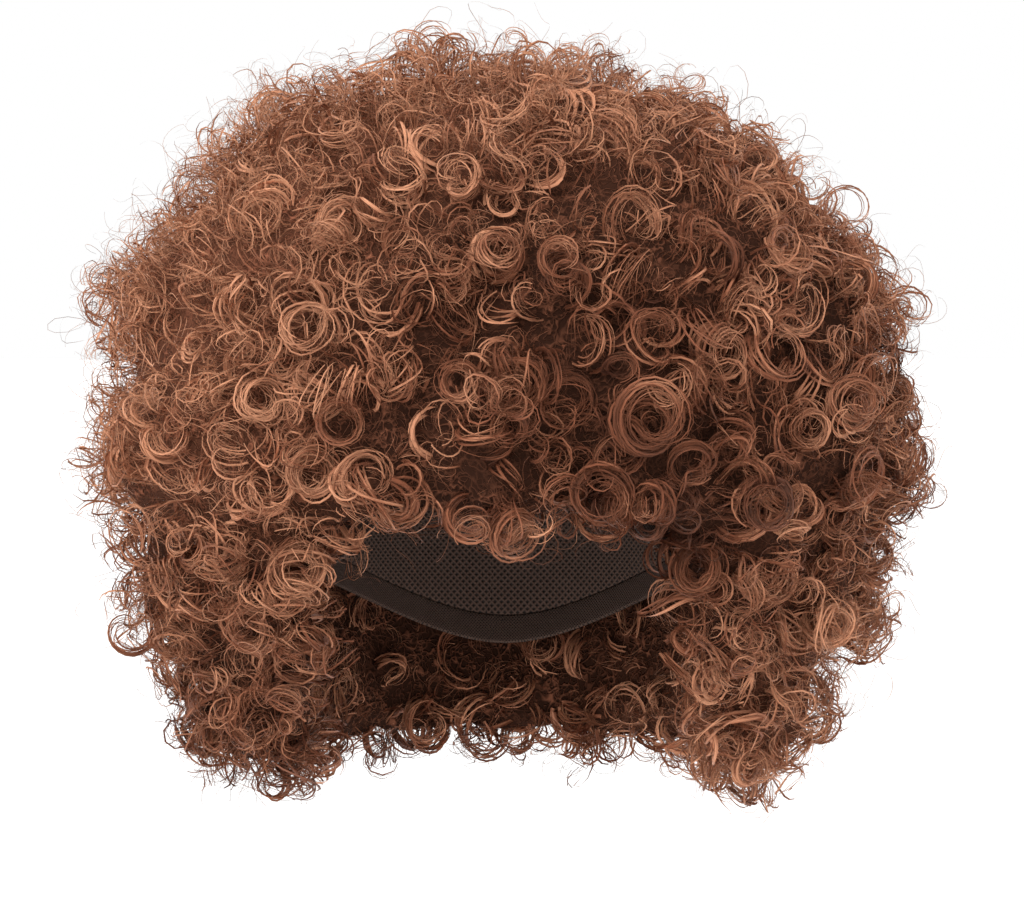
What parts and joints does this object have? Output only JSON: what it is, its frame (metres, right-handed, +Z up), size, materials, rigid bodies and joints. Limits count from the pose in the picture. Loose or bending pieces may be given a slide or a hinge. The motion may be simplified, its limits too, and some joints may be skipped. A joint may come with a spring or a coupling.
{
  "type": "curly afro wig",
  "caption": "Round curly afro wig: thick rows of brown ringlets sewn round a stretch cap with an elastic edge band, with a short fringe and an open face.",
  "frame": {"origin": "the inside of the cap's crown, where the top of the head sits", "axes": "+Z up, the face side towards -Y, +X to the right as seen from in front of the face"},
  "size_m": [0.3158, 0.3189, 0.2818],
  "materials": {
    "cap_net": "knitted stretch net",
    "elastic": "woven elastic",
    "hair": "curled synthetic fibre"
  },
  "bodies": {
    "root": {"cap": "cap_net", "edge_band": "elastic", "crown_tuft": "hair", "weft_top": "hair", "weft_upper": "hair", "weft_middle": "hair", "weft_lower": "hair", "weft_nape": "hair", "fringe": "hair"}
  },
  "joints": []
}
